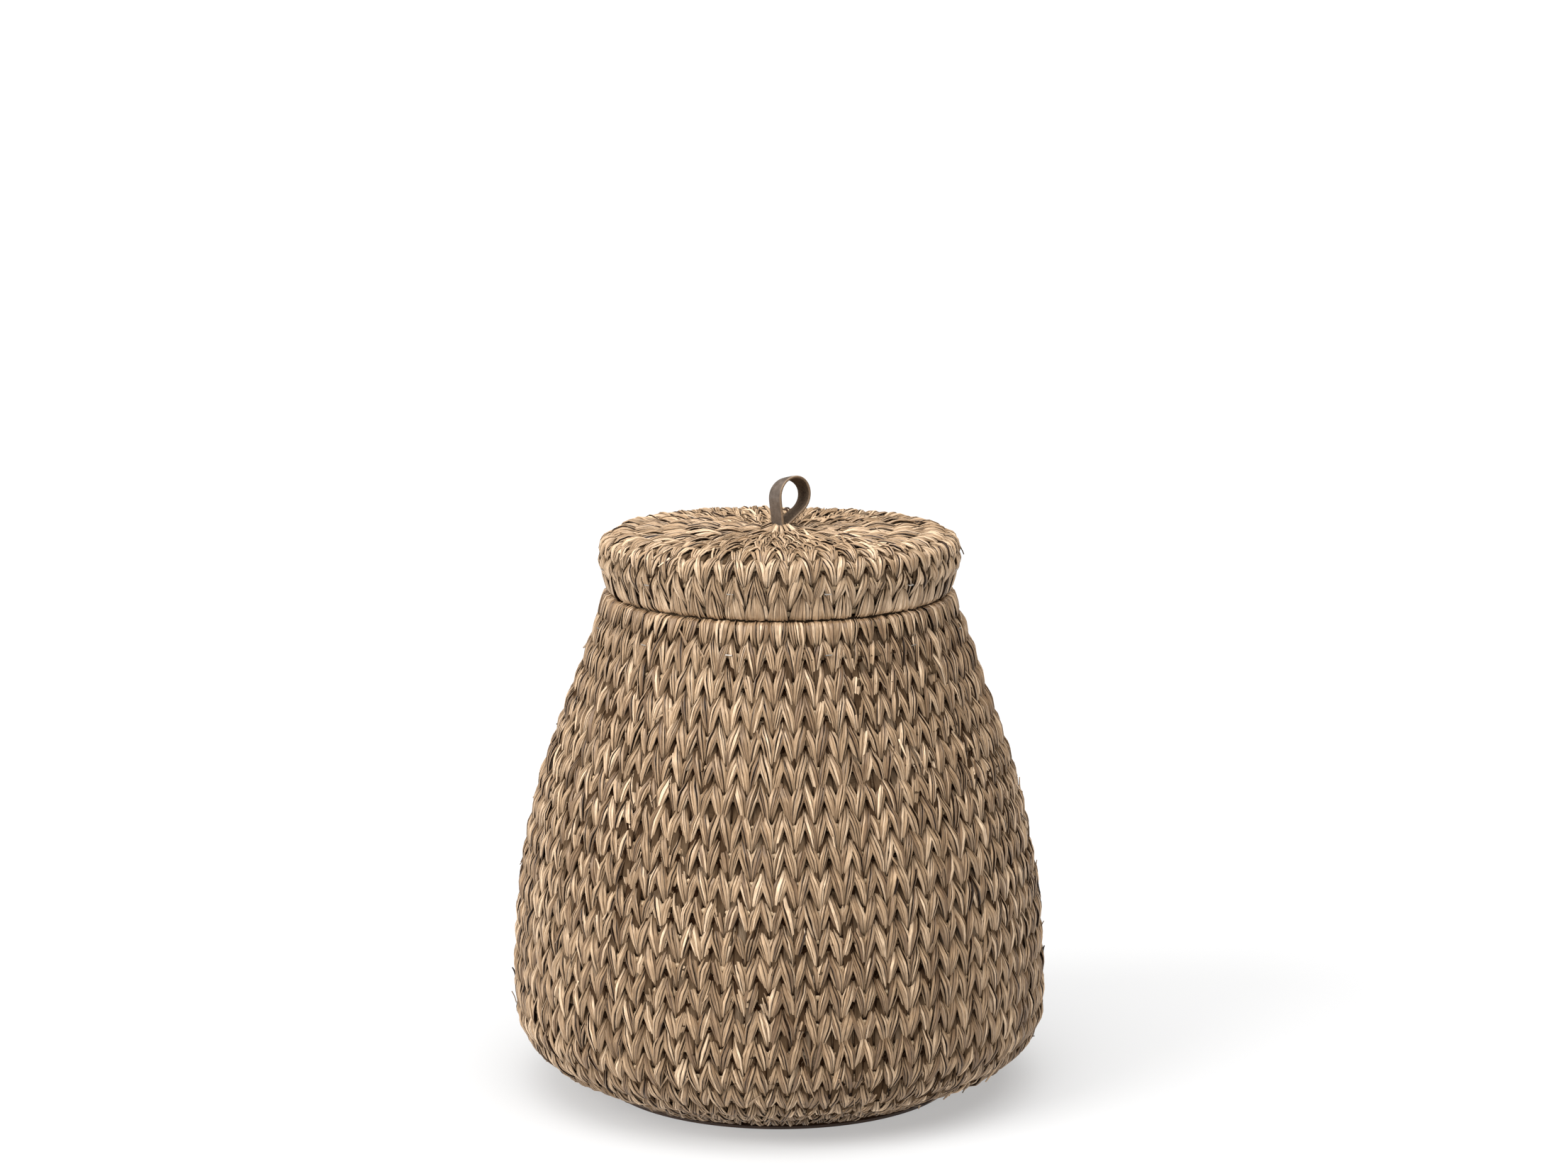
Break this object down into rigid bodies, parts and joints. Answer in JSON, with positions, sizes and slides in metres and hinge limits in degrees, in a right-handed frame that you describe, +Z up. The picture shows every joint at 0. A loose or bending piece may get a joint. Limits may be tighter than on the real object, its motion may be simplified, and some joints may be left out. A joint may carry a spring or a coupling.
{
  "type": "lidded seagrass storage basket",
  "caption": "Round-bellied seagrass storage basket, twined in raised rows over cane hoops, with a lift-off lid and a folded leather pull loop.",
  "frame": {"origin": "centre of the foot ring, on the floor", "axes": "+Z up the basket, -Y the front, the leather loop leans towards +X and a little +Y"},
  "size_m": [0.5, 0.5, 0.5733],
  "materials": {
    "seagrass": "matte, fibrous, tan to dark brown",
    "cane": "matte, natural",
    "dark_cane": "satin, dark brown",
    "splint": "matte, natural",
    "leather": "smooth outside, rough inside",
    "toggle_wood": "matte, natural",
    "brass": "brushed",
    "steel": "bright wire"
  },
  "bodies": {
    "basket": {"base_centre": "seagrass", "base_course_01": "seagrass", "base_course_02": "seagrass", "base_course_03": "seagrass", "base_course_04": "seagrass", "base_course_05": "seagrass", "base_course_06": "seagrass", "base_hoops": "cane", "foot_ring": "dark_cane", "wall_course_01": "seagrass", "wall_course_02": "seagrass", "wall_course_03": "seagrass", "wall_course_04": "seagrass", "wall_course_05": "seagrass", "wall_course_06": "seagrass", "wall_course_07": "seagrass", "wall_course_08": "seagrass", "wall_course_09": "seagrass", "wall_course_10": "seagrass", "wall_course_11": "seagrass", "wall_course_12": "seagrass", "wall_course_13": "seagrass", "wall_course_14": "seagrass", "wall_course_15": "seagrass", "wall_course_16": "seagrass", "wall_course_17": "seagrass", "wall_course_18": "seagrass", "wall_course_19": "seagrass", "wall_course_20": "seagrass", "wall_course_21": "seagrass", "wall_hoops": "cane", "wall_staples": "steel"},
    "lid": {"collar_staples": "steel", "lid_collar": "splint", "lid_course_01": "seagrass", "lid_course_02": "seagrass", "lid_course_03": "seagrass", "lid_course_04": "seagrass", "lid_course_05": "seagrass", "lid_course_06": "seagrass", "lid_course_07": "seagrass", "lid_course_08": "seagrass", "lid_course_09": "seagrass", "lid_hoops": "cane", "lid_staples": "steel", "pull_rivet": "brass", "pull_tails": "leather", "pull_toggle": "toggle_wood", "pull_washer": "brass"},
    "loop": {"pull_loop": "leather"}
  },
  "joints": [
    {"name": "lid_lift", "type": "slide", "parent": "basket", "child": "lid", "axis": [0, 0, 1], "range_m": [0, 0.2]},
    {"name": "loop_tilt", "type": "hinge", "parent": "lid", "child": "loop", "pos_m": [0, 0, 0.52887], "axis": [-0.5736, 0.8192, 0], "range_deg": [-73, 23], "stiffness_Nm_per_rad": 0.03}
  ]
}
